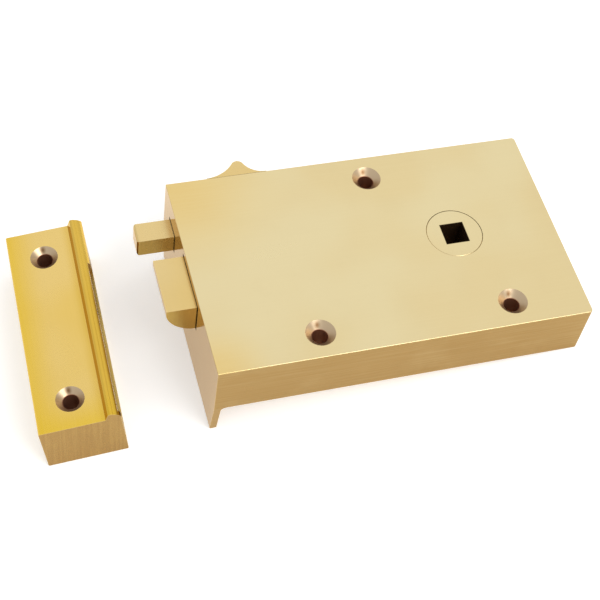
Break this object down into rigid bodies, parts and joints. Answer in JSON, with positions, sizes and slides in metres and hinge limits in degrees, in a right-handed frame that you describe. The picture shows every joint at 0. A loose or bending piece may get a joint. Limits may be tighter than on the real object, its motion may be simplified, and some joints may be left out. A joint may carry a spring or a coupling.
{
  "type": "rim night latch",
  "caption": "Rim night latch: a brass case with a rebate lip, a sprung bevelled latch, a small night bolt on a thumb slide, a square spindle follower, and a separate box keep.",
  "frame": {"origin": "centre of the case's back face, on the door's face", "axes": "+Z out of the door's face, +X from the forend into the door, +Y up the door"},
  "size_m": [0.1797, 0.082, 0.043],
  "materials": {
    "satin_brass": "satin-polished cast brass",
    "inner_brass": "machined brass, unpolished",
    "steel": "zinc-plated steel",
    "spring_steel": "blued spring steel"
  },
  "bodies": {
    "case": {"case_shell": "satin_brass", "back_plate": "inner_brass", "back_plate_screws": "steel", "follower_bush": "inner_brass", "tail_guide_posts": "inner_brass", "tail_guide_screws": "steel", "night_bolt_guide": "inner_brass", "guide_screw": "steel", "detent_post": "inner_brass", "detent_spring": "spring_steel", "detent_screw": "steel", "spring_post": "inner_brass", "latch_spring": "spring_steel"},
    "latch": {"latch_bolt": "satin_brass", "latch_tail": "steel", "spring_carrier": "inner_brass", "latch_rivets": "inner_brass"},
    "follower": {"follower": "satin_brass", "follower_cam": "steel", "follower_spacer": "inner_brass"},
    "night_bolt": {"night_bolt": "satin_brass", "thumb_slide": "satin_brass", "thumb_slide_screw": "steel"},
    "keep": {"keep": "satin_brass"}
  },
  "joints": [
    {"name": "latch_slide", "type": "slide", "parent": "case", "child": "latch", "axis": [1, 0, 0], "range_m": [0, 0.01], "stiffness_N_per_m": 350, "springref_m": -0.008, "deforming": ["latch_spring"]},
    {"name": "follower_turn", "type": "hinge", "parent": "case", "child": "follower", "pos_m": [0.0275, 0.001, 0.01], "axis": [0, 0, 1], "range_deg": [0, 44.1]},
    {"name": "night_bolt_slide", "type": "slide", "parent": "case", "child": "night_bolt", "axis": [1, 0, 0], "range_m": [0, 0.012], "deforming": ["detent_spring"]},
    {"name": "keep_swing", "type": "hinge", "parent": "case", "child": "keep", "pos_m": [0.0686, -0.038, -0.1067], "axis": [0, 0.9891, 0.1469], "range_deg": [0, 7.37]}
  ],
  "couplings": [
    {"joint": "follower_turn", "follows": "latch_slide", "rad_per_m": 76.923}
  ]
}
